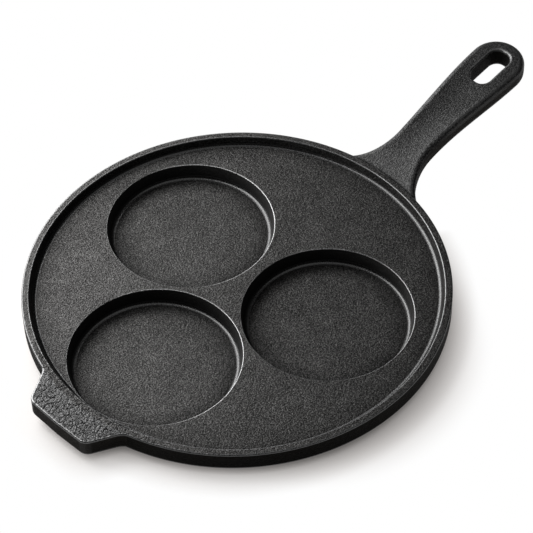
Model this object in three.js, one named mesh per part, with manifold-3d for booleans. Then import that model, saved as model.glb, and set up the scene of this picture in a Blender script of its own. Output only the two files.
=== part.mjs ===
// Uttapam pan: a round cast-iron griddle with three flat-bottomed wells, a rising handle and a helper tab.
// Millimetres, +Z up, +X along the handle. The origin lies on the standing plane, under the middle of the pan's box.
import * as THREE from "three";
import { mergeVertices } from "three/addons/utils/BufferGeometryUtils.js";
import Module from "manifold-3d";

// Wells: shallow dishes that the batter is poured into
const WELL_RADIUS = 50.8;
const WELL_DEPTH = 9.2;
const WELL_DRAFT = 14; // degrees that a well's wall leans out
const WELL_EDGE = 0.7; // rounding of a well's mouth
const WELL_FILLET = 2.2; // between a well's wall and its floor
const FLOOR_THICKNESS = 3.6;
const CUP_ROUNDING = 3; // round the flat underside that the pan stands on
const TAB_WEB = 3.1; // deck left between the tab-side well and each of the other two
const HANDLE_WEB = 7.5; // deck left between the two wells on the handle's side
const TRIO_SHIFT = 9.2; // the trio's middle lies this far from the pan's, towards the tab
const TRIO_SIDE = 1.7; // and this far to the side, towards the left well
const TRIO_TURN = 4.2; // degrees that the trio is turned from the handle's line

// Deck and rim
const DECK_THICKNESS = 5;
const LAND = 0.3; // narrowest flat between a well's mouth and the foot of the rim
const RIM_HEIGHT = 5.2; // above the deck
const RIM_SLOPE = 1.8; // how far the rim's inner wall leans out over that height
const RIM_WIDTH = 4.4; // flat top of the rim
const RIM_EDGE = 0.7;
const RIM_FILLET = 1.4;
const DECK_TUCK = 1.9; // how far the deck runs in under the rim
const SKIRT_DROP = 2.2; // the outer wall hangs this far below the deck's underside
const SKIRT_EDGE = 1.3;

// Handle
const HANDLE_LENGTH = 116; // from the outer wall to the tip
const HANDLE_THICKNESS = 11.8;
const HANDLE_EDGE = 5.4;
const HANDLE_DISH = 0.8; // hollow along the top
const HANDLE_STEP = 0.6; // the root's top lies this far below the rim
const ROOT_RISE = 31; // degrees
const TIP_RISE = 10; // degrees
const RISE_EASE = 3; // how soon the root's rise dies away: higher is sooner
const ROOT_WIDTH = 66;
const FLARE_LENGTH = 26; // the root narrows to the neck over this length
const NECK_WIDTH = 27;
const TIP_WIDTH = 36.4;
const TIP_ROUND = 17; // length of the tip's rounding
const SLOT_LENGTH = 28;
const SLOT_WIDTH = 15;
const SLOT_INSET = 8.6; // metal between the slot and the tip

// Helper tab opposite the handle
const TAB_LENGTH = 16.2;
const TAB_THICKNESS = 12.4;
const TAB_ROOT_WIDTH = 66.8;
const TAB_END_WIDTH = 45.4;
const TAB_CORNER = 6.5;
const TAB_ROOT_FILLET = 4;
const TAB_EDGE = 1.1; // rounding of the top edge
const TAB_SOLE_EDGE = 2.5; // rounding underneath
const TAB_BOW = 0.4; // share of the rim's curve that the tab's end keeps
const TAB_TURN = 1.1; // degrees that the tab sits off the handle's line

// Clearance between the casting's regions where they meet on a round face
const SEAM = 0.3;

// Facets
const RIM_FACETS = 96;
const WELL_FACETS = 60;
const ARC_STEPS = 3;
const FLARE_STEPS = 7;
const SHANK_STEPS = 6;
const TIP_STEPS = 7;
const TIP_SWEEP = THREE.MathUtils.degToRad(84); // the last station stops short of a zero-width section
const BAR_STRIPS = 8; // strips across the flat of a bar's top

// Layout of the wells: an isosceles trio, seen from above before it is turned
const cupSpacing = 2 * WELL_RADIUS + TAB_WEB;
const sideOffset = WELL_RADIUS + HANDLE_WEB / 2;
const trioLength = Math.sqrt(cupSpacing ** 2 - sideOffset ** 2);
const tabWellX = -(2 / 3) * trioLength - TRIO_SHIFT;
const sideWellX = trioLength / 3 - TRIO_SHIFT;
const wells = [
  { name: "well_cup_tab_side", x: tabWellX, y: TRIO_SIDE },
  { name: "well_cup_left", x: sideWellX, y: TRIO_SIDE + sideOffset },
  { name: "well_cup_right", x: sideWellX, y: TRIO_SIDE - sideOffset },
];

// Levels above the standing plane
const deckTop = FLOOR_THICKNESS + WELL_DEPTH;
const deckUnderside = deckTop - DECK_THICKNESS;
const rimTop = deckTop + RIM_HEIGHT;
const skirtBottom = deckUnderside - SKIRT_DROP;

// Radii from the pan's centre, worked outwards from the wells
const collarRadius = WELL_RADIUS + TAB_WEB / 5;
const holeRadius = collarRadius + SEAM;
const cupRadius = WELL_RADIUS + (TAB_WEB - SEAM) / 2;
const wellReach = Math.max(...wells.map((well) => Math.hypot(well.x, well.y)));
const rimToe = wellReach + holeRadius + LAND;
const rimInner = rimToe + RIM_SLOPE;
const rimOuter = rimInner + RIM_WIDTH;
const deckRadius = rimToe + DECK_TUCK;
const rootRadius = rimOuter + SEAM;

const radians = THREE.MathUtils.degToRad;
const wasm = await Module();
wasm.setup();

function castIron(color, roughness) {
  return new THREE.MeshStandardMaterial({ color, roughness, metalness: 0.6 });
}

// A polyline with its corners rounded: each point is [x, y] or [x, y, radius]
function roundedLine(points) {
  return points.flatMap(([x, y, radius = 0], i) => {
    const corner = new THREE.Vector2(x, y);
    const before = points[i - 1];
    const after = points[i + 1];
    if (!radius || !before || !after) return [corner];
    return cornerArc(corner, new THREE.Vector2(...before), new THREE.Vector2(...after), radius);
  });
}

function cornerArc(corner, before, after, radius) {
  const back = before.clone().sub(corner);
  const ahead = after.clone().sub(corner);
  const room = 0.45 * Math.min(back.length(), ahead.length());
  back.normalize();
  ahead.normalize();
  const half = Math.acos(THREE.MathUtils.clamp(back.dot(ahead), -1, 1)) / 2;
  const tangent = Math.min(radius / Math.tan(half), room);
  const bisector = back.clone().add(ahead).normalize();
  const centre = corner.clone().addScaledVector(bisector, tangent / Math.cos(half));
  const start = corner.clone().addScaledVector(back, tangent);
  const turn = Math.sign(back.cross(ahead)) * (2 * half - Math.PI);
  return Array.from({ length: ARC_STEPS + 1 }, (_, k) =>
    start.clone().rotateAround(centre, (turn * k) / ARC_STEPS),
  );
}

// A profile of [radius, height] points, turned about the Z axis
function revolved(profile, facets) {
  return new THREE.LatheGeometry(profile, facets).rotateX(Math.PI / 2);
}

function circle(x, y, radius, facets) {
  return Array.from({ length: facets }, (_, k) => {
    const angle = (2 * Math.PI * k) / facets;
    return new THREE.Vector2(x + radius * Math.cos(angle), y + radius * Math.sin(angle));
  });
}

// One well: drafted wall, flat floor and the flat pad underneath, with a shoulder seated under the deck
function cupGeometry() {
  const floorRadius = WELL_RADIUS - WELL_DEPTH * Math.tan(radians(WELL_DRAFT));
  const profile = roundedLine([
    [0, 0],
    [cupRadius, 0, CUP_ROUNDING],
    [cupRadius, deckUnderside],
    [collarRadius, deckUnderside],
    [collarRadius, deckTop],
    [WELL_RADIUS, deckTop, WELL_EDGE],
    [floorRadius, FLOOR_THICKNESS, WELL_FILLET],
    [0, FLOOR_THICKNESS],
  ]);
  return revolved(profile, WELL_FACETS);
}

// The rim stands on the deck's edge, and its outer wall hangs below as a skirt
function rimGeometry() {
  const skirtInner = deckRadius + SEAM;
  const outline = [
    [skirtInner, deckTop],
    [skirtInner, skirtBottom],
    [rimOuter, skirtBottom, SKIRT_EDGE],
    [rimOuter, rimTop, RIM_EDGE],
    [rimInner, rimTop, RIM_EDGE],
    [rimToe + RIM_FILLET / 2, deckTop + RIM_FILLET / 2, RIM_FILLET],
    [rimToe, deckTop],
    [skirtInner, deckTop],
  ];
  return revolved(roundedLine(outline), RIM_FACETS);
}

// The flat cooking deck, pierced for the three wells
function deckGeometry() {
  const shape = new THREE.Shape(circle(0, 0, deckRadius, RIM_FACETS));
  const centre = new THREE.Vector2();
  for (const well of wells) {
    const spot = new THREE.Vector2(well.x, well.y).rotateAround(centre, radians(TRIO_TURN));
    shape.holes.push(new THREE.Path(circle(spot.x, spot.y, holeRadius, WELL_FACETS)));
  }
  const plate = new THREE.ExtrudeGeometry(shape, { depth: DECK_THICKNESS, bevelEnabled: false });
  return plate.translate(0, 0, deckUnderside);
}

// Half of a rounded edge's arc, as [distance in from the side, distance from the flat] pairs that start at the side
function edgeArc(radius) {
  return Array.from({ length: ARC_STEPS + 1 }, (_, k) => {
    const angle = (Math.PI / 2) * (1 - k / ARC_STEPS);
    return [radius * (1 - Math.sin(angle)), radius * (1 - Math.cos(angle))];
  });
}

// Points from side to side across a bar, as [y, distance from the flat]: rounded edges and a hollow between them
function barChain(half, radius, dish) {
  const edge = Math.min(radius, 0.8 * half);
  const flat = half - edge;
  const left = edgeArc(edge).map(([inset, depth]) => [inset - half, depth]);
  const middle = Array.from({ length: BAR_STRIPS - 1 }, (_, k) => {
    const share = (2 * (k + 1)) / BAR_STRIPS - 1;
    return [share * flat, dish * (1 - share ** 2)];
  });
  const right = left.map(([y, depth]) => [-y, depth]).reverse();
  return [...left, ...middle, ...right];
}

// How far an end rounded to this radius has dropped at a reach along the bar
function noseDrop(radius, reach, length) {
  const past = Math.max(0, reach - (length - radius));
  return radius - Math.sqrt(Math.max(0, radius ** 2 - past ** 2));
}

// One cross-section of a bar that runs out along +X from the pan's outer wall: its top, then its underside back
function barSection(bar, reach, half) {
  const crown = bar.top(reach) - noseDrop(bar.edge, reach, bar.length);
  const sole = bar.top(reach) - bar.thickness + noseDrop(bar.soleEdge, reach, bar.length);
  const fade = Math.max(0, 1 - reach / bar.straightAfter);
  const place = (y, z) => {
    const bow = rootRadius - Math.sqrt(rootRadius ** 2 - y ** 2);
    return new THREE.Vector3(rootRadius + reach - fade * bow, y, z);
  };
  const above = barChain(half, bar.edge, bar.dish).map(([y, depth]) => place(y, crown - depth));
  const below = barChain(half, bar.soleEdge, 0).map(([y, depth]) => place(y, sole + depth));
  return [...above, ...below.reverse()];
}

// Skin over a row of cross-sections that all have the same number of points, closed at both ends
function lofted(sections) {
  const count = sections[0].length;
  const last = (sections.length - 1) * count;
  const triangles = [];
  const quad = (a, b, c, d) => triangles.push(a, b, c, a, c, d);
  for (let s = 0; s < sections.length - 1; s++) {
    for (let k = 0; k < count; k++) {
      const next = (k + 1) % count;
      quad(s * count + k, (s + 1) * count + k, (s + 1) * count + next, s * count + next);
    }
  }
  for (let k = 0; k < count / 2 - 1; k++) {
    const under = count - 1 - k;
    quad(k, k + 1, under - 1, under);
    quad(last + under, last + under - 1, last + k + 1, last + k);
  }
  const geometry = new THREE.BufferGeometry().setFromPoints(sections.flat());
  geometry.setIndex(triangles);
  return geometry;
}

// Half outline of the handle as [reach, half width]: flared root, waisted shank, rounded tip
function handleOutline() {
  const neck = NECK_WIDTH / 2;
  const tip = TIP_WIDTH / 2;
  const widest = HANDLE_LENGTH - TIP_ROUND;
  const flare = Array.from({ length: FLARE_STEPS }, (_, k) => {
    const angle = (Math.PI / 2) * (k / FLARE_STEPS);
    const spread = (ROOT_WIDTH / 2 - neck) * (1 - Math.sin(angle));
    return [FLARE_LENGTH * (1 - Math.cos(angle)), neck + spread];
  });
  const shank = Array.from({ length: SHANK_STEPS }, (_, k) => {
    const share = k / SHANK_STEPS;
    const half = THREE.MathUtils.lerp(neck, tip, THREE.MathUtils.smoothstep(share, 0, 1));
    return [THREE.MathUtils.lerp(FLARE_LENGTH, widest, share), half];
  });
  const end = Array.from({ length: TIP_STEPS + 1 }, (_, k) => {
    const angle = (TIP_SWEEP * k) / TIP_STEPS;
    return [widest + (TIP_ROUND * Math.sin(angle)) / Math.sin(TIP_SWEEP), tip * Math.cos(angle)];
  });
  return [...flare, ...shank, ...end];
}

// Height of the handle's top: it leaves the rim steeply and flattens towards the tip
function handleTop(reach) {
  const end = Math.tan(radians(TIP_RISE));
  const start = Math.tan(radians(ROOT_RISE));
  const left = Math.max(0, 1 - reach / HANDLE_LENGTH);
  const eased = (HANDLE_LENGTH / (RISE_EASE + 1)) * (1 - left ** (RISE_EASE + 1));
  return rimTop - HANDLE_STEP + end * reach + (start - end) * eased;
}

function slotGeometry() {
  const radius = SLOT_WIDTH / 2;
  const straight = SLOT_LENGTH / 2 - radius;
  const shape = new THREE.Shape();
  shape.absarc(straight, 0, radius, -Math.PI / 2, Math.PI / 2);
  shape.absarc(-straight, 0, radius, Math.PI / 2, (3 * Math.PI) / 2);
  const depth = handleTop(HANDLE_LENGTH) + HANDLE_THICKNESS;
  const cutter = new THREE.ExtrudeGeometry(shape, { depth, bevelEnabled: false, curveSegments: ARC_STEPS * 2 });
  return cutter.translate(rootRadius + HANDLE_LENGTH - SLOT_INSET - SLOT_LENGTH / 2, 0, 0);
}

function handleGeometry() {
  const bar = {
    top: handleTop,
    length: HANDLE_LENGTH,
    thickness: HANDLE_THICKNESS,
    edge: HANDLE_EDGE,
    soleEdge: HANDLE_EDGE,
    dish: HANDLE_DISH,
    straightAfter: FLARE_LENGTH,
  };
  const shank = lofted(handleOutline().map(([reach, half]) => barSection(bar, reach, half)));
  return cut(shank, slotGeometry());
}

function tabGeometry() {
  const bar = {
    top: () => rimTop,
    length: TAB_LENGTH,
    thickness: TAB_THICKNESS,
    edge: TAB_EDGE,
    soleEdge: TAB_SOLE_EDGE,
    dish: 0,
    straightAfter: TAB_LENGTH / (1 - TAB_BOW),
  };
  const outline = roundedLine([
    [0, TAB_ROOT_WIDTH / 2 + TAB_LENGTH],
    [0, TAB_ROOT_WIDTH / 2, TAB_ROOT_FILLET],
    [TAB_LENGTH, TAB_END_WIDTH / 2, TAB_CORNER],
    [TAB_LENGTH, 0],
  ]);
  const stations = outline.slice(1, -1);
  return lofted(stations.map((point) => barSection(bar, point.x, point.y)));
}

function solidOf(geometry) {
  const bare = geometry.clone();
  bare.deleteAttribute("normal");
  bare.deleteAttribute("uv");
  const merged = mergeVertices(bare);
  const vertProperties = merged.attributes.position.array;
  const triVerts = new Uint32Array(merged.index.array);
  return new wasm.Manifold(new wasm.Mesh({ numProp: 3, vertProperties, triVerts }));
}

function cut(body, tool) {
  const mesh = solidOf(body).subtract(solidOf(tool)).getMesh();
  const geometry = new THREE.BufferGeometry();
  geometry.setAttribute("position", new THREE.BufferAttribute(mesh.vertProperties, 3));
  geometry.setIndex(new THREE.BufferAttribute(mesh.triVerts, 1));
  return geometry;
}

function named(name, geometry, material) {
  const mesh = new THREE.Mesh(geometry, material);
  mesh.name = name;
  return mesh;
}

const pan = new THREE.Group();

pan.add(named("griddle_deck", deckGeometry(), castIron(0x3b3b3b, 0.75)));
pan.add(named("outer_rim", rimGeometry(), castIron(0x343433, 0.7)));

const trio = new THREE.Group();
trio.rotation.z = radians(TRIO_TURN);
for (const well of wells) {
  const cup = named(well.name, cupGeometry(), castIron(0x363636, 0.75));
  cup.position.set(well.x, well.y, 0);
  trio.add(cup);
}
pan.add(trio);

pan.add(named("handle", handleGeometry(), castIron(0x333332, 0.7)));

const tab = named("helper_tab", tabGeometry(), castIron(0x3e3f41, 0.65));
tab.rotation.z = Math.PI + radians(TAB_TURN);
pan.add(tab);

const box = new THREE.Box3().setFromObject(pan);
pan.position.set(-(box.min.x + box.max.x) / 2, -(box.min.y + box.max.y) / 2, -box.min.z);

export default pan;
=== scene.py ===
import math

import bpy
import numpy as np
from mathutils import Matrix, Vector
from mathutils.geometry import tessellate_polygon


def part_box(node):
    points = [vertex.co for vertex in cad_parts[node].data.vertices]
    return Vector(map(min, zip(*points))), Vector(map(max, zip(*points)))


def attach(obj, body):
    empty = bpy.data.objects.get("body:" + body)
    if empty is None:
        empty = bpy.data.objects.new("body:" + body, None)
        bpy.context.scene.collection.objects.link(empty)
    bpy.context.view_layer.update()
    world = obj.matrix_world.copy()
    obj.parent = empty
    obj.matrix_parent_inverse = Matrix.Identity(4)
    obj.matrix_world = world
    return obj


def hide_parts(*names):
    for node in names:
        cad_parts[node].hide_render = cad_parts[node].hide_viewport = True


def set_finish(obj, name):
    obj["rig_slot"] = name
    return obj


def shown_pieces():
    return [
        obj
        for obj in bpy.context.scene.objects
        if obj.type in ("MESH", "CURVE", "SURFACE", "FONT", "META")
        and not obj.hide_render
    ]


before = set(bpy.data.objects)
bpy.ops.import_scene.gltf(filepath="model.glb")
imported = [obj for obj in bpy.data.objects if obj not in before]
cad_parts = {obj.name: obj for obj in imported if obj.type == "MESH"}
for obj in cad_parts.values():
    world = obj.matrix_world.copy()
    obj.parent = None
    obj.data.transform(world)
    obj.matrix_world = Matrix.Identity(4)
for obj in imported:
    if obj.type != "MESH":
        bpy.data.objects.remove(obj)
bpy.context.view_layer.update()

# Sizes in millimetres and angles in degrees: the pan stands on z = 0, with +X along the handle
MM = 0.001
WELL_RADIUS = 50.8
WELL_DEPTH = 9.2
WELL_DRAFT = 14
WELL_EDGE = 0.7
WELL_FILLET = 2.2
FLOOR_THICKNESS = 3.6
CUP_ROUNDING = 3
TAB_WEB = 3.1
SEAM = 0.3
DECK_THICKNESS = 5
RIM_HEIGHT = 5.2
RIM_SLOPE = 1.8
RIM_WIDTH = 4.4
RIM_EDGE = 0.7
RIM_FOOT = 0.8
RIM_FILLET_RUN = 1.4
FILLET_LEAST = 0.2
FILLET_CLEARANCE = 0.12
EDGE_LEAST = 0.02
DECK_TUCK = 1.9
SKIRT_DROP = 2.2
SKIRT_EDGE = 1.3
UNDER_FILLET = 2
UNDER_LEDGE = 0.2
HANDLE_LENGTH = 116
HANDLE_THICKNESS = 11.8
HANDLE_EDGE = 3.6
HANDLE_SOLE_EDGE = 3.4
HANDLE_DISH = 1.0
DISH_EASE = 30
DISH_END = 95
HANDLE_STEP = 0.6
HANDLE_LEAN = 0.93
ROOT_RISE = 31
TIP_RISE = 10
RISE_EASE = 3
ROOT_WIDTH = 66
FLARE_LENGTH = 26
ROOT_SPREAD = 1.0
NECK_WIDTH = 27
TIP_WIDTH = 36.4
TIP_ROUND = 17
SLOT_LENGTH = 28
SLOT_WIDTH = 15
SLOT_INSET = 8.6
SLOT_EDGE = 1.2
SLOT_CORNER = 6.2
SLOT_DRAFT = 4
TAB_LENGTH = 16.2
TAB_THICKNESS = 12.4
TAB_ROOT_WIDTH = 66.8
TAB_END_WIDTH = 45.4
TAB_CORNER = 6.5
TAB_ROOT_FILLET = 7
TAB_EDGE = 1.1
TAB_SOLE_EDGE = 2.5
TAB_BOW = 0.4
TAB_TURN = 1.1
TAB_DIVE = 0.05
TAB_TOE = 0.1
TAB_FADE = 1.2
ROOTED = 2.0

# The crackled casting skin round the tab: crease widths are shares of a plate or a flake
PLATE_SIZE = 3.8
PLATE_LIFT = 0.12
PLATE_CREASE_WIDTH = 0.11
PLATE_CREASE_DEPTH = 0.34
FLAKE_SIZE = 2.2
FLAKE_LIFT = 0.1
FLAKE_CREASE_WIDTH = 0.16
FLAKE_CREASE_DEPTH = 0.24
PATCH_SIZE = 4.5
WARP_SIZE = 2.6
WARP = 0.9
SKIN_SECTOR = 17
SKIN_FADE = 32
RELIEF_INSET = 0.5
RELIEF_DEPTH = 2

# Painted highlights on edges and fillets, partly real wear: bearings of the sides where they show, how far
# an edge away from them darkens, and how sharp an edge has to be
MOUTH_SHEEN_BEARING = -27
FOOT_SHEEN_BEARING = 18
SHEEN_SPREAD = 0.75
EDGE_DIMMING = 0.7
BEND_GAIN = 3
FULL_CURVATURE = 1.2

# Fineness of the meshes
WELL_SEGMENTS = 180
DECK_SEGMENTS = 360
RIM_TURN = 0.8
RIM_FINE_TURN = 0.24
RIM_FINE_FROM = 128
RIM_TOP_STRIPS = 9
CORNER_SHARE = 0.48
LEAST_LENGTH = 0.001
FLARE_POINTS = 28
SHANK_POINTS = 30
TIP_POINTS = 30
TAB_CORNER_STEPS = 12
PLAN_STEP = 0.5
RELIEF_STEP = 0.15
HANDLE_LATTICE = 0.7
TAB_LATTICE = 0.32
SETTLE_ROUNDS = 4
LEAST_SLOPE = 0.2
SHARP_ANGLE = 38

# Room left round the handle and the tab in their lattices and plans
PLAN_ROOM = 6
HANDLE_ROOM_LOW = (9, 3, 2)
HANDLE_ROOM_HIGH = (2, 3, 3)
TAB_ROOM_LOW = (12, 5, 1)
TAB_ROOM_HIGH = (1, 5, 1.2)

# The photograph's camera: focal length and aim in pixels of a square picture, and where it stands
PICTURE = 533
FOCAL = 2208.0
ELEVATION = 48.77
DISTANCE = 1312.4
ROLL = -2.44
AIM = (237.57, 300.56)
HANDLE_BEARING = 42.0
AIM_HEIGHT = 2.5

# The floor and its soft shadow: places and reaches in metres, levels as shares of white
FLOOR_GAP = 0.00005
FLOOR_REACH = 6.0
SHADOW_SPOT = (0.040, -0.032)
SHADOW_CORE = 0.074
SHADOW_END = 0.110
SHADOW_LEVEL = 0.48
CONTACT_REACH = 0.018
CONTACT_POWER = 1.35
BEHIND_START = 0.06
BEHIND_END = 0.085
DIM_WORLD = 0.02

# Tones of the iron and the paper, the painted shade in the iron's nooks and the painted sheen on its
# fillets, and how the iron's grain shows
DARK = (0.0144, 0.014, 0.0137)
LIGHT = (0.142, 0.14, 0.137)
# Painted shade: the colour the iron darkens to in its nooks, how far that darkening reaches, and how
# steeply it falls off
NOOK_SHADE = (0.002, 0.002, 0.002)
NOOK_REACH = 0.016
NOOK_POWER = 3.0
SPARKLE_POWER = 2.0
GRIT_SHARE = 0.85
PEBBLE_SHARE = 0.6
EDGE_POLISH = -0.15
# Painted sheen on fillets: the metallic tone they take
FILLET_SHEEN_TONE = 0.07
GLOSS = 0.06
WHITE = (1, 1, 1)
PAPER = (0.98, 0.955, 0.935)
WARM_SHADE = (1, 0.94, 0.9)

deck_top = FLOOR_THICKNESS + WELL_DEPTH
deck_underside = deck_top - DECK_THICKNESS
rim_top = deck_top + RIM_HEIGHT
skirt_bottom = deck_underside - SKIRT_DROP
collar_radius = WELL_RADIUS + TAB_WEB / 5
cup_radius = WELL_RADIUS + (TAB_WEB - SEAM) / 2

rim_low, rim_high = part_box("outer_rim")
pan_centre = Vector(((rim_low.x + rim_high.x) / 2, (rim_low.y + rim_high.y) / 2, 0))
rim_outer = (rim_high.y - rim_low.y) / 2 / MM
rim_inner = rim_outer - RIM_WIDTH
rim_toe = rim_inner - RIM_SLOPE
rim_foot = rim_toe - RIM_FOOT
deck_radius = rim_toe + DECK_TUCK
root_radius = rim_outer + SEAM
handle_widest = HANDLE_LENGTH - TIP_ROUND
tab_bearing = math.pi + math.radians(TAB_TURN)


# Meshes

def add_piece(name, points, faces, node, slot, edge=None):
    """One closed mesh in place of a solid, with its sharpness kept on the points for the look."""
    mesh = bpy.data.meshes.new(name)
    mesh.from_pydata((np.asarray(points, float) * MM + np.array(pan_centre)).tolist(), [], faces)
    mesh.validate()
    mesh.update()
    mesh.shade_smooth()
    mesh.set_sharp_from_angle(angle=math.radians(SHARP_ANGLE))
    if edge is not None:
        layer = mesh.attributes.new("edge", "FLOAT", "POINT")
        layer.data.foreach_set("value", np.asarray(edge, np.float32))
    piece = bpy.data.objects.new(name, mesh)
    bpy.context.scene.collection.objects.link(piece)
    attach(piece, "root")
    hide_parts(node)
    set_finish(piece, slot)


def corner_arc(before, corner, after, radius, steps):
    """Points along the arc that rounds a corner, as far as the runs on both sides leave room."""
    back = before - corner
    ahead = after - corner
    room = CORNER_SHARE * min(np.linalg.norm(back), np.linalg.norm(ahead))
    back = back / np.linalg.norm(back)
    ahead = ahead / np.linalg.norm(ahead)
    half = math.acos(np.clip(back @ ahead, -1, 1)) / 2
    tangent = min(radius / math.tan(half), room)
    middle = (back + ahead) / np.linalg.norm(back + ahead)
    centre = corner + middle * tangent / math.cos(half)
    spoke = corner + back * tangent - centre
    turn = np.sign(back[0] * ahead[1] - back[1] * ahead[0]) * (2 * half - math.pi)
    angles = np.linspace(0, turn, steps + 1)
    x = spoke[0] * np.cos(angles) - spoke[1] * np.sin(angles)
    y = spoke[0] * np.sin(angles) + spoke[1] * np.cos(angles)
    return centre + np.stack([x, y], 1)


def with_flats(line, margin=0.35):
    """The line with extra points just inside both ends of each straight run, so that flats stay flat."""
    out = [line[:1]]
    for before, after in zip(line[:-1], line[1:]):
        length = np.linalg.norm(after - before)
        if length > 4 * margin:
            step = (after - before) * margin / length
            out.append(np.stack([before + step, after - step]))
        out.append(after[None])
    return np.concatenate(out)


def rounded_line(points, steps=8):
    """The line through the points, where a third number rounds a corner with that radius."""
    out = []
    for i, point in enumerate(points):
        corner = np.array(point[:2], float)
        if len(point) == 2:
            out.append(corner[None])
            continue
        before = np.array(points[i - 1][:2], float)
        after = np.array(points[i + 1][:2], float)
        out.append(corner_arc(before, corner, after, point[2], steps))
    return np.concatenate(out)


def bend(line, closed):
    """How sharply a counter-clockwise profile turns: up to 1 on edges, down to -1 in fillets."""
    ahead = np.roll(line, -1, 0) - line
    behind = line - np.roll(line, 1, 0)
    turn = behind[:, 0] * ahead[:, 1] - behind[:, 1] * ahead[:, 0]
    span = np.linalg.norm(ahead, axis=1) * np.linalg.norm(behind, axis=1)
    angle = np.arcsin(np.clip(turn / np.maximum(span, LEAST_LENGTH ** 2), -1, 1))
    length = np.minimum(np.linalg.norm(ahead, axis=1), np.linalg.norm(behind, axis=1))
    sharp = np.clip(BEND_GAIN * angle / np.maximum(length, LEAST_LENGTH), -1, 1)
    if not closed:
        sharp[[0, -1]] = 0
    return sharp


def ring_faces(rows, columns, closed):
    """Quads over a grid of rows around a full turn, with the profile's points as columns."""
    faces = []
    last = columns if closed else columns - 1
    for row in range(rows):
        here, there = row * columns, ((row + 1) % rows) * columns
        for k in range(last):
            after = (k + 1) % columns
            faces.append((here + k, there + k, there + after, here + after))
    return faces


def around(angles, profile_at):
    """Grid of points: one row for each angle, with the profile that belongs to it."""
    rows = np.stack([profile_at(angle) for angle in angles])
    radius, height = rows[..., 0], rows[..., 1]
    x = radius * np.cos(angles)[:, None]
    y = radius * np.sin(angles)[:, None]
    return np.stack([x, y, height], -1)


def circle(centre, radius, count):
    angles = np.linspace(0, 2 * math.pi, count, endpoint=False)
    return np.stack([centre[0] + radius * np.cos(angles), centre[1] + radius * np.sin(angles)], 1)


# Relief of the coarse cast skin

def smoothstep(share):
    share = np.clip(share, 0, 1)
    return share * share * (3 - 2 * share)


def scatter(ix, iy, seed):
    """A number from 0 to 1 for each whole place: without order, but always the same."""
    mixed = ix.astype(np.int64) * 374761393 + iy.astype(np.int64) * 668265263 + seed * 974634777
    mixed &= 0xFFFFFFFF
    mixed = ((mixed ^ (mixed >> 13)) * 1274126177) & 0xFFFFFFFF
    return ((mixed ^ (mixed >> 16)) & 0xFFFF) / 0xFFFF


def soft_noise(x, y, size, seed):
    """Scattered numbers on a grid of that size, blended smoothly in between."""
    gx, gy = x / size, y / size
    ix, iy = np.floor(gx), np.floor(gy)
    fx, fy = smoothstep(gx - ix), smoothstep(gy - iy)
    low = scatter(ix, iy, seed) * (1 - fx) + scatter(ix + 1, iy, seed) * fx
    high = scatter(ix, iy + 1, seed) * (1 - fx) + scatter(ix + 1, iy + 1, seed) * fx
    return low * (1 - fy) + high * fy


def plates(x, y, size, seed):
    """Distance from the borders of scattered plates, as a share of their size, and each plate's chance."""
    gx, gy = x / size, y / size
    ix, iy = np.floor(gx), np.floor(gy)
    first = np.full(x.shape, np.inf)
    second = np.full(x.shape, np.inf)
    chance = np.zeros(x.shape)
    for dx in (-1, 0, 1):
        for dy in (-1, 0, 1):
            px = ix + dx + scatter(ix + dx, iy + dy, seed)
            py = iy + dy + scatter(ix + dx, iy + dy, seed + 7)
            away = np.hypot(gx - px, gy - py)
            second = np.minimum(second, np.maximum(first, away))
            chance = np.where(away < first, scatter(ix + dx, iy + dy, seed + 13), chance)
            first = np.minimum(first, away)
    return second - first, chance


def crackle(x, y):
    """Height of the crackled skin in millimetres: plates and smaller flakes, parted by narrow creases."""
    wx = x + WARP * (soft_noise(x, y, WARP_SIZE, 11) - 0.5)
    wy = y + WARP * (soft_noise(x, y, WARP_SIZE, 12) - 0.5)
    plate, plate_chance = plates(wx, wy, PLATE_SIZE, 21)
    flake, flake_chance = plates(wx, wy, FLAKE_SIZE, 22)
    patchy = smoothstep(2 * soft_noise(x, y, PATCH_SIZE, 31) - 0.5)
    creases = PLATE_CREASE_DEPTH * np.clip(1 - plate / PLATE_CREASE_WIDTH, 0, 1)
    creases += FLAKE_CREASE_DEPTH * patchy * np.clip(1 - flake / FLAKE_CREASE_WIDTH, 0, 1)
    return PLATE_LIFT * (plate_chance - 0.5) + FLAKE_LIFT * (flake_chance - 0.5) * patchy - creases


def tab_nearness(x, y):
    """1 on the helper tab, fading to 0 along the rim."""
    bearing = np.arctan2(y, x) - tab_bearing
    bearing = np.abs((bearing + math.pi) % (2 * math.pi) - math.pi)
    away = np.clip((np.degrees(bearing) - SKIN_SECTOR) / SKIN_FADE, 0, 1)
    return (1 - away) ** 2


def skin_relief(x, y):
    return crackle(x, y) * tab_nearness(x, y)


# Wells

def cup_profile():
    floor_radius = WELL_RADIUS - WELL_DEPTH * math.tan(math.radians(WELL_DRAFT))
    return with_flats(rounded_line([
        (0, 0),
        (cup_radius, 0, CUP_ROUNDING),
        (cup_radius, deck_underside, UNDER_FILLET),
        (cup_radius + UNDER_FILLET + UNDER_LEDGE, deck_underside),
        (collar_radius, deck_underside),
        (collar_radius, deck_top),
        (WELL_RADIUS, deck_top, WELL_EDGE),
        (floor_radius, FLOOR_THICKNESS, WELL_FILLET),
        (0, FLOOR_THICKNESS),
    ]))


def sheen_towards(angles, bearing):
    """Painted highlight share: 1 on the side of a well that lies along the bearing, and 0 on its opposite
    side.
    """
    return smoothstep(np.cos(angles - math.radians(bearing)) + SHEEN_SPREAD)


def wear_and_sheen(share):
    """Factor for an edge's sharpness: 1 where the edge is worn and carries a painted highlight, below 0
    where it stays dark like a fillet.
    """
    return (1 + EDGE_DIMMING) * share - EDGE_DIMMING


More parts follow.
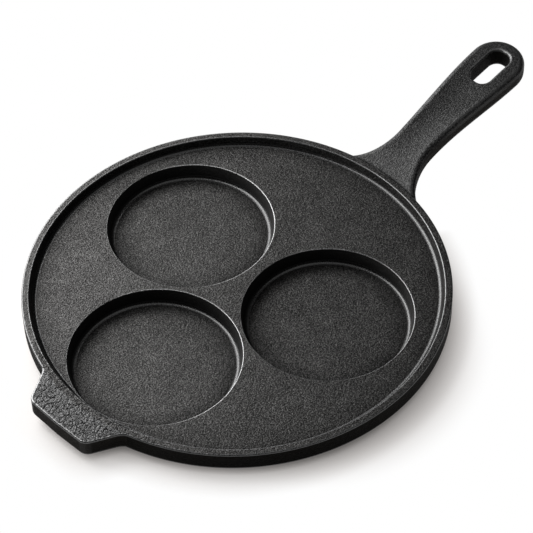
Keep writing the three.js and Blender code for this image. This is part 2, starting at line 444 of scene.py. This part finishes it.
def well_edges(profile, angles):
    """Sharpness of a well's points, with painted highlights on the mouth's edge and the fillet towards one
    side.
    """
    sharp = np.where(profile[:, 0] < collar_radius, bend(profile, closed=False), 0)[1:-1]
    mouth = wear_and_sheen(sheen_towards(angles, MOUTH_SHEEN_BEARING))[:, None]
    foot = sheen_towards(angles, FOOT_SHEEN_BEARING)[:, None]
    return np.where(sharp > 0, sharp * mouth, sharp * foot)


def add_cup(node):
    low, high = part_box(node)
    spot = ((np.array(low) + np.array(high)) / 2 - np.array(pan_centre)) / MM
    profile = cup_profile()
    angles = np.linspace(0, 2 * math.pi, WELL_SEGMENTS, endpoint=False)
    grid = around(angles, lambda angle: profile[1:-1])
    grid[..., 0] += spot[0]
    grid[..., 1] += spot[1]
    columns = grid.shape[1]
    middles = [[spot[0], spot[1], 0], [spot[0], spot[1], FLOOR_THICKNESS]]
    points = np.concatenate([grid.reshape(-1, 3), middles])
    faces = ring_faces(WELL_SEGMENTS, columns, closed=False)
    sole, floor = len(points) - 2, len(points) - 1
    for row in range(WELL_SEGMENTS):
        here, there = row * columns, ((row + 1) % WELL_SEGMENTS) * columns
        faces.append((sole, there, here))
        faces.append((floor, here + columns - 1, there + columns - 1))
    edge = np.concatenate([well_edges(profile, angles).ravel(), [0, 0]])
    add_piece(node.replace("cup", "skin"), points, faces, node, "cooking_iron", edge)
    return spot[:2]


well_spots = [add_cup(node) for node in ("well_cup_tab_side", "well_cup_left", "well_cup_right")]


# Deck

def add_deck():
    loops = [circle((0, 0), deck_radius, DECK_SEGMENTS)]
    loops += [circle(spot, collar_radius, WELL_SEGMENTS) for spot in well_spots]
    flat = np.concatenate(loops)
    triangles = tessellate_polygon([[Vector((x, y, 0)) for x, y in loop] for loop in loops])
    count = len(flat)
    top = np.column_stack([flat, np.full(count, deck_top)])
    bottom = np.column_stack([flat, np.full(count, deck_underside)])
    faces = []
    for a, b, c in triangles:
        (ax, ay), (bx, by), (cx, cy) = flat[a], flat[b], flat[c]
        if (bx - ax) * (cy - ay) - (by - ay) * (cx - ax) < 0:
            b, c = c, b
        faces.append((a, b, c))
        faces.append((count + a, count + c, count + b))
    start = 0
    for i, loop in enumerate(loops):
        sides = len(loop)
        for k in range(sides):
            a, b = start + k, start + (k + 1) % sides
            wall = (a, count + a, count + b, b)
            faces.append(wall if i == 0 else wall[::-1])
        start += sides
    add_piece("deck_skin", np.concatenate([top, bottom]), faces, "griddle_deck", "cooking_iron")


add_deck()


# Rim

def tab_sector(angle):
    """1 where the helper tab grows out of the rim, so that the rim's outer edge isn't rounded there."""
    bearing = abs((angle - math.radians(TAB_TURN)) % (2 * math.pi) - math.pi)
    edge = math.asin(TAB_ROOT_WIDTH / 2 / root_radius)
    return smoothstep((edge - bearing) / math.radians(TAB_FADE) + 1)


def fillet_run(angle):
    """Width of the fillet at the rim's foot, which narrows where the tab-side well comes close."""
    spot = well_spots[0]
    aside = angle - math.atan2(spot[1], spot[0])
    away = math.hypot(*spot)
    across = away * math.sin(aside)
    if math.cos(aside) < 0 or abs(across) > collar_radius:
        return RIM_FILLET_RUN
    mouth = away * math.cos(aside) + math.sqrt(collar_radius ** 2 - across ** 2)
    return float(np.clip(rim_foot - mouth - FILLET_CLEARANCE, FILLET_LEAST, RIM_FILLET_RUN))


def rim_profile(angle):
    outer_edge = RIM_EDGE * (1 - tab_sector(angle)) + EDGE_LEAST
    half = (math.pi / 2 + math.atan2(rim_inner - rim_foot, RIM_HEIGHT)) / 2
    run = fillet_run(angle)
    line = rounded_line([
        (deck_radius, deck_top),
        (deck_radius, deck_underside),
        (deck_radius - UNDER_FILLET - UNDER_LEDGE, deck_underside),
        (deck_radius, deck_underside, UNDER_FILLET),
        (deck_radius, skirt_bottom, SKIRT_EDGE),
        (rim_outer, skirt_bottom, SKIRT_EDGE),
        (rim_outer, rim_top, outer_edge),
        (rim_inner, rim_top, RIM_EDGE),
        (rim_foot, deck_top, run * math.tan(half)),
        (rim_foot - 3 * RIM_FILLET_RUN, deck_top),
    ])
    return with_flats(line[:-1])


def with_top_strips(line):
    """The profile with extra points along the rim's flat top."""
    ahead = np.roll(line, -1, 0)
    flat = np.isclose(line[:, 1], rim_top) & np.isclose(ahead[:, 1], rim_top)
    at = int(np.argmax(flat * np.abs(line[:, 0] - ahead[:, 0])))
    share = np.linspace(0, 1, RIM_TOP_STRIPS + 1)[1:-1, None]
    strips = line[at] * (1 - share) + line[at + 1] * share
    return np.concatenate([line[:at + 1], strips, line[at + 1:]]), at


def add_rim():
    fine = np.radians(np.arange(RIM_FINE_FROM, 360 - RIM_FINE_FROM, RIM_FINE_TURN))
    rest = np.radians(np.arange(-RIM_FINE_FROM, RIM_FINE_FROM, RIM_TURN))
    angles = np.concatenate([rest, fine])
    grid = around(angles, lambda angle: with_top_strips(rim_profile(angle))[0])
    profile, at = with_top_strips(rim_profile(0.0))
    x, y = grid[..., 0], grid[..., 1]
    on_top = np.zeros(len(profile))
    on_top[at - 1:at + RIM_TOP_STRIPS + 2] = 1
    grid[..., 2] += skin_relief(x, y) * on_top
    columns = grid.shape[1]
    edge = np.tile(bend(profile, closed=True), (len(angles), 1))
    beside_tab = np.array([tab_sector(angle) for angle in angles])[:, None]
    # Where the tab grows out, the rim's edges lose their worn tint and painted highlight and stay dark
    # like fillets
    edge = np.where(edge > 0, edge * wear_and_sheen(1 - beside_tab), edge)
    faces = ring_faces(len(angles), columns, closed=True)
    add_piece("rim_skin", grid.reshape(-1, 3), faces, "outer_rim", "rim_iron", edge.ravel())


add_rim()


# Handle and tab: solids given by a signed distance, skinned on a fine lattice

def round_max(a, b, radius):
    """The space inside both solids, with the edge between them rounded."""
    inner = np.minimum(np.maximum(a, b), -radius)
    return inner + np.hypot(np.maximum(a + radius, 0), np.maximum(b + radius, 0))


class PlanField:
    """Values kept on a lattice over the plan view and read between its points."""

    def __init__(self, make, low, high, step):
        self.low = np.asarray(low, float)
        self.step = step
        counts = np.ceil((np.asarray(high) - self.low) / step).astype(int) + 1
        xs = self.low[0] + step * np.arange(counts[0])
        ys = self.low[1] + step * np.arange(counts[1])
        self.values = make(*np.meshgrid(xs, ys, indexing="ij"))

    def __call__(self, x, y):
        gx = np.clip((x - self.low[0]) / self.step, 0, self.values.shape[0] - 1.001)
        gy = np.clip((y - self.low[1]) / self.step, 0, self.values.shape[1] - 1.001)
        ix, iy = gx.astype(int), gy.astype(int)
        fx, fy = gx - ix, gy - iy
        kept = self.values
        low = kept[ix, iy] * (1 - fx) + kept[ix + 1, iy] * fx
        high = kept[ix, iy + 1] * (1 - fx) + kept[ix + 1, iy + 1] * fx
        return low * (1 - fy) + high * fy


def outline_distance(outline, px, py):
    """Signed distance from a closed outline, negative inside."""
    best = np.full(px.shape, np.inf)
    inside = np.zeros(px.shape, bool)
    for (ax, ay), (bx, by) in zip(outline, np.roll(outline, -1, 0)):
        dx, dy = bx - ax, by - ay
        square = max(dx * dx + dy * dy, LEAST_LENGTH ** 2)
        share = np.clip(((px - ax) * dx + (py - ay) * dy) / square, 0, 1)
        best = np.minimum(best, (px - ax - share * dx) ** 2 + (py - ay - share * dy) ** 2)
        if dy:
            crosses = ((ay > py) != (by > py)) & (px < ax + dx * (py - ay) / dy)
            inside ^= crosses
    return np.where(inside, -1, 1) * np.sqrt(best)


def plan_distance(outline):
    low, high = outline.min(0) - PLAN_ROOM, outline.max(0) + PLAN_ROOM
    return PlanField(lambda x, y: outline_distance(outline, x, y), low, high, PLAN_STEP)


def gradient(field, points, reach=0.05):
    slopes = []
    for step in np.eye(3) * reach:
        slopes.append((field(*(points + step).T) - field(*(points - step).T)) / (2 * reach))
    return np.stack(slopes, 1)


def lattice_crossings(values, inside, axis):
    """Lattice edges along the axis that pass through the skin, and the share of the step where they do."""
    count = values.shape[axis]
    first = np.take(inside, range(count - 1), axis)
    second = np.take(inside, range(1, count), axis)
    edge = np.argwhere(first != second)
    ahead = edge.copy()
    ahead[:, axis] += 1
    a, b = values[tuple(edge.T)], values[tuple(ahead.T)]
    return edge, a / (a - b)


def cells_round(edge, axis):
    """The four lattice cells that meet in each edge along the axis, in turn."""
    others = [a for a in range(3) if a != axis]
    cells = []
    for d0, d1 in ((0, 0), (1, 0), (1, 1), (0, 1)):
        cell = edge.copy()
        cell[:, others[0]] -= d0
        cell[:, others[1]] -= d1
        cells.append(cell)
    return cells


def settle(field, points):
    """The points, moved onto the skin where the field is zero."""
    for _ in range(SETTLE_ROUNDS):
        slope = gradient(field, points)
        size = np.maximum((slope ** 2).sum(1), LEAST_SLOPE)
        points = points - slope * (field(*points.T) / size)[:, None]
    return points


def lattice_skin(field, low, high, step):
    """Closed skin of quads where the field is zero, with one point in every cell that it crosses."""
    low, high = np.asarray(low, float), np.asarray(high, float)
    counts = np.ceil((high - low) / step).astype(int) + 1
    axes = [low[a] + step * np.arange(counts[a]) for a in range(3)]
    values = field(*np.meshgrid(*axes, indexing="ij"))
    inside = values < 0
    total = np.zeros((*(counts - 1), 3))
    hits = np.zeros(counts - 1)
    quads = []
    for axis in range(3):
        edge, share = lattice_crossings(values, inside, axis)
        spot = low + edge * step
        spot[:, axis] += step * share
        corners = cells_round(edge, axis)
        for cell in corners:
            np.add.at(total, tuple(cell.T), spot)
            np.add.at(hits, tuple(cell.T), 1)
        leaving = inside[tuple(edge.T)]
        quads.append((corners, leaving if axis == 1 else ~leaving))
    used = hits > 0
    number = np.full(hits.shape, -1)
    number[used] = np.arange(used.sum())
    points = total[used] / hits[used][:, None]
    faces = []
    for corners, flip in quads:
        quad = np.stack([number[tuple(cell.T)] for cell in corners], 1)
        quad[flip] = quad[flip][:, ::-1]
        faces += quad.tolist()
    return settle(field, points), faces


def rim_bow(half):
    """How far the rim's curve falls back at half a width from the middle."""
    return root_radius - np.sqrt(root_radius ** 2 - half ** 2)


def both_sides(side):
    """Closed outline from its upper side, which ends on the axis."""
    return np.concatenate([side, side[::-1][1:] * [1, -1]])


def sharpness(field, points, reach=0.35):
    """How convex the solid is at each point, from 0 to 1."""
    lift = -6 * field(*points.T)
    for step in np.eye(3) * reach:
        lift += field(*(points + step).T) + field(*(points - step).T)
    return np.clip(lift / reach ** 2 / FULL_CURVATURE, 0, 1)


# Handle

def handle_half_width(reach):
    neck, tip = NECK_WIDTH / 2, TIP_WIDTH / 2
    left = np.clip(1 - reach / FLARE_LENGTH, 0, 1)
    flare = (ROOT_WIDTH / 2 - neck) * (1 - np.sqrt(1 - left ** 2))
    shank = neck + (tip - neck) * smoothstep((reach - FLARE_LENGTH) / (handle_widest - FLARE_LENGTH))
    end = np.sqrt(np.clip(1 - (np.maximum(reach - handle_widest, 0) / TIP_ROUND) ** 2, 0, 1))
    return (shank + flare) * end


def handle_outline():
    flare = FLARE_LENGTH * (1 - np.cos(np.linspace(0, math.pi / 2, FLARE_POINTS)))
    shank = np.linspace(FLARE_LENGTH, handle_widest, SHANK_POINTS)[1:]
    end = handle_widest + TIP_ROUND * np.sin(np.linspace(0, math.pi / 2, TIP_POINTS)[1:])
    reach = np.concatenate([flare, shank, end])
    half = handle_half_width(reach)
    bow = rim_bow(half)
    x = root_radius + reach - np.clip(1 - reach / FLARE_LENGTH, 0, 1) * bow
    side = np.column_stack([x, half])
    inner = np.array([[rim_outer - 2 * ROOTED - bow[0], half[0] + ROOT_SPREAD]])
    return both_sides(np.concatenate([inner, side]))


def handle_top(reach):
    end, start = math.tan(math.radians(TIP_RISE)), math.tan(math.radians(ROOT_RISE))
    left = np.maximum(1 - reach / HANDLE_LENGTH, 0)
    eased = HANDLE_LENGTH / (RISE_EASE + 1) * (1 - left ** (RISE_EASE + 1))
    return rim_top - HANDLE_STEP + end * reach + (start - end) * eased


handle_plan = plan_distance(handle_outline())


def slot_distance(x, y, depth):
    """Signed distance from the hang slot, which narrows downwards."""
    middle = root_radius + HANDLE_LENGTH - SLOT_INSET - SLOT_LENGTH / 2
    narrowed = math.tan(math.radians(SLOT_DRAFT)) * np.clip(depth, 0, HANDLE_THICKNESS)
    along = np.abs(x - middle) - SLOT_LENGTH / 2 + narrowed + SLOT_CORNER
    across = np.abs(y) - SLOT_WIDTH / 2 + narrowed + SLOT_CORNER
    outside = np.hypot(np.maximum(along, 0), np.maximum(across, 0))
    return outside + np.minimum(np.maximum(along, across), 0) - SLOT_CORNER


def handle_field(x, y, z):
    reach = np.hypot(x, y) - root_radius
    half = handle_half_width(np.clip(reach, 0, DISH_END)) - HANDLE_EDGE
    across = np.clip(1 - (y / half) ** 2, 0, 1)
    along = smoothstep(reach / DISH_EASE) * smoothstep((DISH_END - reach) / DISH_EASE)
    top = handle_top(reach)
    crown = top - HANDLE_DISH * across * along
    body = round_max(handle_plan(x, y), (z - crown) * HANDLE_LEAN, HANDLE_EDGE)
    body = round_max(body, (top - HANDLE_THICKNESS - z) * HANDLE_LEAN, HANDLE_SOLE_EDGE)
    body = round_max(body, -slot_distance(x, y, top - z), SLOT_EDGE)
    return np.maximum(body, rim_outer - ROOTED - np.hypot(x, y))


def add_handle():
    low = np.array([rim_outer, -ROOT_WIDTH / 2, 0])
    high = np.array([root_radius + HANDLE_LENGTH, ROOT_WIDTH / 2, handle_top(HANDLE_LENGTH)])
    low, high = low - HANDLE_ROOM_LOW, high + HANDLE_ROOM_HIGH
    points, faces = lattice_skin(handle_field, low, high, HANDLE_LATTICE)
    beyond_root = smoothstep((np.hypot(points[:, 0], points[:, 1]) - root_radius) / FLARE_LENGTH - 1)
    edge = sharpness(handle_field, points) * beyond_root
    add_piece("handle_skin", points, faces, "handle", "handle_iron", edge)


add_handle()


# Helper tab, made along +X and turned round to the far side

def tab_outline():
    toe = -SEAM - TAB_TOE
    corners = rounded_line([
        (toe, TAB_ROOT_WIDTH / 2 + TAB_LENGTH),
        (toe, TAB_ROOT_WIDTH / 2, TAB_ROOT_FILLET),
        (TAB_LENGTH, TAB_END_WIDTH / 2, TAB_CORNER),
        (TAB_LENGTH, 0),
    ], steps=TAB_CORNER_STEPS)[1:]
    reach, half = corners[:, 0], corners[:, 1]
    bow = rim_bow(half)
    x = root_radius + reach - (1 - reach * (1 - TAB_BOW) / TAB_LENGTH) * bow
    side = np.column_stack([x, half])
    inner = np.array([[rim_outer - 2 * ROOTED - bow[0], half[0]]])
    return both_sides(np.concatenate([inner, side]))


tab_plan = plan_distance(tab_outline())


def tab_skin_relief(x, y):
    """The crackled skin on the tab, which dies out before its edges."""
    rx = x * math.cos(tab_bearing) - y * math.sin(tab_bearing)
    ry = x * math.sin(tab_bearing) + y * math.cos(tab_bearing)
    return skin_relief(rx, ry) * smoothstep(-tab_plan(x, y) - RELIEF_INSET)


tab_low = np.array([rim_outer, -TAB_ROOT_WIDTH / 2, rim_top - TAB_THICKNESS]) - TAB_ROOM_LOW
tab_high = np.array([root_radius + TAB_LENGTH, TAB_ROOT_WIDTH / 2, rim_top]) + TAB_ROOM_HIGH
tab_relief = PlanField(tab_skin_relief, tab_low[:2], tab_high[:2], RELIEF_STEP)


def plain_tab(x, y, z):
    """The tab without its crackled skin."""
    from_centre = np.hypot(x, y)
    dive = TAB_DIVE * np.maximum(rim_outer - from_centre, 0)
    body = round_max(tab_plan(x, y), z - rim_top + dive, TAB_EDGE)
    body = round_max(body, rim_top - TAB_THICKNESS - z, TAB_SOLE_EDGE)
    return np.maximum(body, rim_outer - ROOTED - from_centre)


def tab_field(x, y, z):
    high_up = smoothstep((z - rim_top) / RELIEF_DEPTH + 1)
    return plain_tab(x, y, z - tab_relief(x, y) * high_up)


def add_tab():
    points, faces = lattice_skin(tab_field, tab_low, tab_high, TAB_LATTICE)
    edge = sharpness(plain_tab, points)
    cosine, sine = math.cos(tab_bearing), math.sin(tab_bearing)
    points = points @ np.array([[cosine, sine, 0], [-sine, cosine, 0], [0, 0, 1]])
    add_piece("tab_skin", points, faces, "helper_tab", "tab_iron", edge)


add_tab()


# Materials

def link(tree, source, target):
    tree.links.new(source, target)


def node(tree, kind, **settings):
    made = tree.nodes.new(kind)
    for key, value in settings.items():
        if key in made.inputs:
            made.inputs[key].default_value = value
        else:
            setattr(made, key, value)
    return made


def maths(tree, operation, first, second=None):
    """A number worked out from first and second, each a fixed number or another node's output."""
    made = node(tree, "ShaderNodeMath", operation=operation)
    for socket, value in zip(made.inputs, (first, second)):
        if isinstance(value, float):
            socket.default_value = value
        elif value is not None:
            link(tree, value, socket)
    return made.outputs[0]


def times(tree, first, second):
    return maths(tree, "MULTIPLY", first, second)


def plus(tree, first, second):
    return maths(tree, "ADD", first, second)


def power(tree, value, exponent):
    return maths(tree, "POWER", value, exponent)


def blend(tree, factor, first, second):
    """A colour between first and second, each a fixed colour or another node's output."""
    made = node(tree, "ShaderNodeMix", data_type="RGBA")
    link(tree, factor, made.inputs["Factor"])
    for name, colour in (("A", first), ("B", second)):
        if isinstance(colour, tuple):
            made.inputs[name].default_value = (*colour, 1)
        else:
            link(tree, colour, made.inputs[name])
    return made.outputs["Result"]


def between(tree, value, low, high, start=0.0, stop=1.0):
    """A number that goes from low to high while the value goes from start to stop."""
    made = node(tree, "ShaderNodeMapRange")
    made.inputs["From Min"].default_value = start
    made.inputs["From Max"].default_value = stop
    made.inputs["To Min"].default_value = low
    made.inputs["To Max"].default_value = high
    link(tree, value, made.inputs["Value"])
    return made.outputs["Result"]


def new_material(name):
    material = bpy.data.materials.new(name)
    material.use_nodes = True
    material.node_tree.nodes.clear()
    return material


def iron_grains(tree):
    """The iron's grain in three sizes: broad mottling, pebbles and fine grit."""
    place = node(tree, "ShaderNodeMapping", Rotation=(0.6, 0.4, 0.2))
    link(tree, node(tree, "ShaderNodeTexCoord").outputs["Object"], place.inputs["Vector"])
    mottle = node(tree, "ShaderNodeTexNoise", Scale=70.0, Detail=4.0, Roughness=0.6)
    pebble = node(tree, "ShaderNodeTexNoise", Scale=480.0, Detail=2.0, Roughness=0.5)
    grit = node(tree, "ShaderNodeTexNoise", Scale=1300.0, Detail=1.0, Roughness=0.6)
    for texture in (mottle, pebble, grit):
        link(tree, place.outputs["Vector"], texture.inputs["Vector"])
    return mottle.outputs["Fac"], pebble.outputs["Fac"], grit.outputs["Fac"]


def steepness(tree):
    """1 on steep faces, 0 on faces that look up or down."""
    facing = node(tree, "ShaderNodeSeparateXYZ")
    link(tree, node(tree, "ShaderNodeNewGeometry").outputs["True Normal"], facing.inputs[0])
    level = maths(tree, "ABSOLUTE", facing.outputs["Z"])
    return between(tree, level, low=1.0, high=0.0, start=0.15, stop=0.6)


def iron(name, dark, light, side, side_dull, grain, edge_wear_and_sheen):
    """Seasoned cast iron: grainy, darkened by painted shade in nooks, with painted shade or light in the
    colour of steep faces, which are also dull, and smooth on edges and fillets, whose tint is partly wear
    and partly painted highlight.
    """
    material = new_material(name)
    tree = material.node_tree
    output = node(tree, "ShaderNodeOutputMaterial")
    shader = node(tree, "ShaderNodeBsdfPrincipled")
    shader.inputs["Specular IOR Level"].default_value = GLOSS
    link(tree, shader.outputs["BSDF"], output.inputs["Surface"])
    mottle, pebble, grit = iron_grains(tree)
    steep = steepness(tree)
    edge = node(tree, "ShaderNodeAttribute", attribute_name="edge").outputs["Fac"]
    smooth = maths(tree, "ABSOLUTE", edge)

    mixed = plus(tree, times(tree, grit, GRIT_SHARE), times(tree, mottle, 1 - GRIT_SHARE))
    spread = between(tree, mixed, low=0.0, high=1.0, start=0.3, stop=0.7)
    sparkle = power(tree, spread, SPARKLE_POWER)
    # Steep faces take the side colour in place of the grain: painted shade on the rim's, handle's and
    # tab's sides, painted light on the wells' walls
    skin = blend(tree, steep, blend(tree, sparkle, dark, light), side)
    # Painted shade: ambient occlusion darkens the colour towards the nook shade near walls and in corners
    nook = node(tree, "ShaderNodeAmbientOcclusion", Distance=NOOK_REACH, samples=8)
    nook_shaded = blend(tree, power(tree, nook.outputs["AO"], NOOK_POWER), NOOK_SHADE, skin)
    # Edges and fillets take a metallic tint: partly real wear, partly painted highlight on the sides where
    # the light catches them
    wear_and_sheen_tone = between(tree, edge, low=FILLET_SHEEN_TONE, high=edge_wear_and_sheen, start=-1.0, stop=1.0)
    link(tree, blend(tree, smooth, nook_shaded, wear_and_sheen_tone), shader.inputs["Base Color"])
    link(tree, between(tree, smooth, low=0.75, high=1.0), shader.inputs["Metallic"])

    dull = between(tree, grit, low=0.35, high=0.51, start=0.3, stop=0.7)
    change = plus(tree, times(tree, smooth, EDGE_POLISH), times(tree, steep, side_dull))
    link(tree, plus(tree, dull, change), shader.inputs["Roughness"])

    bump = node(tree, "ShaderNodeBump", Distance=grain)
    link(tree, between(tree, smooth, low=1.0, high=0.2), bump.inputs["Strength"])
    link(tree, plus(tree, grit, times(tree, pebble, PEBBLE_SHARE)), bump.inputs["Height"])
    link(tree, bump.outputs["Normal"], shader.inputs["Normal"])
    return material


# side is the colour of steep faces: darker than the grain on the rim, handle and tab as painted shade,
# lighter in the wells as painted light
looks = {
    "cooking_iron": dict(
        dark=DARK, light=LIGHT, side=(0.07, 0.069, 0.068), side_dull=0.06, grain=0.0004, edge_wear_and_sheen=0.28),
    "rim_iron": dict(
        dark=DARK, light=(0.133, 0.131, 0.128), side=(0.005, 0.0044, 0.0037), side_dull=0.36,
        grain=0.0004, edge_wear_and_sheen=0.13),
    "handle_iron": dict(
        dark=(0.02, 0.02, 0.02), light=(0.105, 0.105, 0.104), side=(0.009, 0.0075, 0.006), side_dull=0.3,
        grain=0.0003, edge_wear_and_sheen=0.3),
    "tab_iron": dict(
        dark=(0.021, 0.021, 0.021), light=(0.21, 0.21, 0.21), side=(0.012, 0.0105, 0.009), side_dull=0.36,
        grain=0.0003, edge_wear_and_sheen=0.24),
}
materials = {name: iron(name, **look) for name, look in looks.items()}
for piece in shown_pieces():
    piece.data.materials.clear()
    piece.data.materials.append(materials[piece["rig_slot"]])


# Picture frame: right and away are along the photograph's horizon, in metres from the pan's centre

def stand_at(right, away, up):
    turn = math.radians(-HANDLE_BEARING)
    x = right * math.cos(turn) - away * math.sin(turn)
    y = right * math.sin(turn) + away * math.cos(turn)
    return pan_centre + Vector((x, y, up))


def add_camera():
    tilt = math.radians(ELEVATION)
    back = np.array([0, -math.cos(tilt), math.sin(tilt)])
    right = np.array([1.0, 0, 0])
    basis = np.stack([right, np.cross(back, right), -back], 1)
    sight = np.array([(AIM[0] - PICTURE / 2) / FOCAL, -(AIM[1] - PICTURE / 2) / FOCAL, 1.0])
    sight /= np.linalg.norm(sight)
    axis = np.cross(sight, [0, 0, 1])
    angle = math.asin(np.linalg.norm(axis))
    swing = np.array(Matrix.Rotation(angle, 3, Vector(axis)))
    spin = np.array(Matrix.Rotation(math.radians(ROLL), 3, "Z"))
    looking = basis @ spin @ swing
    turn = np.array(Matrix.Rotation(math.radians(-HANDLE_BEARING), 3, "Z"))
    looking = turn @ looking
    eye = turn @ (back * DISTANCE) * MM + np.array(pan_centre) + np.array([0, 0, AIM_HEIGHT * MM])
    data = bpy.data.cameras.new("camera")
    data.sensor_width = 36.0
    data.sensor_fit = "HORIZONTAL"
    data.lens = FOCAL / PICTURE * data.sensor_width
    camera = bpy.data.objects.new("camera", data)
    bpy.context.scene.collection.objects.link(camera)
    pose = Matrix.Identity(4)
    for row in range(3):
        pose[row][0] = looking[row, 0]
        pose[row][1] = looking[row, 1]
        pose[row][2] = -looking[row, 2]
        pose[row][3] = eye[row]
    camera.matrix_world = pose
    bpy.context.scene.camera = camera


add_camera()


def add_lamp(name, bearing, height, width, tall, watts, away=0.62):
    """A softbox that faces the pan: bearing in degrees from straight behind, height in degrees."""
    turn, lift = math.radians(bearing), math.radians(height)
    along = away * math.cos(lift)
    spot = stand_at(along * math.sin(turn), along * math.cos(turn), away * math.sin(lift))
    data = bpy.data.lights.new(name, "AREA")
    data.shape = "RECTANGLE"
    data.size = width
    data.size_y = tall
    data.energy = watts
    lamp = bpy.data.objects.new(name, data)
    bpy.context.scene.collection.objects.link(lamp)
    lamp.location = spot
    lamp.rotation_mode = "QUATERNION"
    lamp.rotation_quaternion = (pan_centre - spot).to_track_quat("-Z", "Y")


add_lamp("key", bearing=-56, height=36, width=0.52, tall=0.2, watts=2.3, away=0.5)
add_lamp("high", bearing=-65, height=57, width=0.25, tall=0.25, watts=0.9)
add_lamp("back", bearing=-16, height=39, width=0.3, tall=0.2, watts=0.9)
add_lamp("strip", bearing=-40, height=12, width=0.6, tall=0.15, watts=2.4)
add_lamp("top", bearing=110, height=79, width=0.8, tall=0.8, watts=0.9, away=0.82)


# Floor and world

def floor_light(tree):
    """How bright the paper looks: dimmed in the soft shadow and close to the pan, but not behind it."""
    shift = node(tree, "ShaderNodeVectorMath", operation="SUBTRACT")
    shift.inputs[1].default_value = stand_at(*SHADOW_SPOT, 0)
    link(tree, node(tree, "ShaderNodeTexCoord").outputs["Object"], shift.inputs[0])
    far = node(tree, "ShaderNodeVectorMath", operation="LENGTH")
    link(tree, shift.outputs["Vector"], far.inputs[0])
    fade = node(tree, "ShaderNodeMapRange", interpolation_type="SMOOTHSTEP")
    fade.inputs["From Min"].default_value = SHADOW_CORE
    fade.inputs["From Max"].default_value = SHADOW_END
    fade.inputs["To Min"].default_value = SHADOW_LEVEL
    link(tree, far.outputs["Value"], fade.inputs["Value"])
    open_air = node(tree, "ShaderNodeAmbientOcclusion", Distance=CONTACT_REACH)
    depth = node(tree, "ShaderNodeVectorMath", operation="DOT_PRODUCT")
    depth.inputs[1].default_value = stand_at(0, 1, 0) - pan_centre
    link(tree, shift.outputs["Vector"], depth.inputs[0])
    behind = between(tree, depth.outputs["Value"], low=0.0, high=1.0, start=BEHIND_START, stop=BEHIND_END)
    clear = maths(tree, "MAXIMUM", power(tree, open_air.outputs["AO"], CONTACT_POWER), behind)
    return times(tree, fade.outputs["Result"], clear)


def floor_material():
    """Paper that shows white with a warm shade, and lights the pan as plain paper."""
    material = new_material("floor")
    tree = material.node_tree
    output = node(tree, "ShaderNodeOutputMaterial")
    paper = node(tree, "ShaderNodeBsdfDiffuse", Color=(*PAPER, 1))
    glow = node(tree, "ShaderNodeEmission", Strength=1.0)
    mix = node(tree, "ShaderNodeMixShader")
    path = node(tree, "ShaderNodeLightPath")
    seen = maths(tree, "MAXIMUM", path.outputs["Is Camera Ray"], path.outputs["Is Glossy Ray"])
    share = floor_light(tree)
    link(tree, blend(tree, share, WARM_SHADE, WHITE), glow.inputs["Color"])
    link(tree, times(tree, share, seen), mix.inputs["Fac"])
    link(tree, paper.outputs["BSDF"], mix.inputs[1])
    link(tree, glow.outputs["Emission"], mix.inputs[2])
    link(tree, mix.outputs["Shader"], output.inputs["Surface"])
    return material


def add_floor():
    mesh = bpy.data.meshes.new("floor")
    corners = [(x * FLOOR_REACH, y * FLOOR_REACH, 0) for x, y in ((-1, -1), (1, -1), (1, 1), (-1, 1))]
    mesh.from_pydata(corners, [], [(0, 1, 2, 3)])
    mesh.materials.append(floor_material())
    floor = bpy.data.objects.new("floor", mesh)
    floor.location.z = -FLOOR_GAP
    bpy.context.scene.collection.objects.link(floor)


add_floor()


def add_world():
    world = bpy.data.worlds.new("studio")
    world.use_nodes = True
    tree = world.node_tree
    tree.nodes.clear()
    output = node(tree, "ShaderNodeOutputWorld")
    dim = node(tree, "ShaderNodeBackground", Color=(*WHITE, 1), Strength=DIM_WORLD)
    white = node(tree, "ShaderNodeBackground", Color=(*WHITE, 1), Strength=1.0)
    path = node(tree, "ShaderNodeLightPath")
    mix = node(tree, "ShaderNodeMixShader")
    link(tree, path.outputs["Is Camera Ray"], mix.inputs["Fac"])
    link(tree, dim.outputs["Background"], mix.inputs[1])
    link(tree, white.outputs["Background"], mix.inputs[2])
    link(tree, mix.outputs["Shader"], output.inputs["Surface"])
    bpy.context.scene.world = world


add_world()

bpy.context.scene.view_settings.view_transform = "Standard"
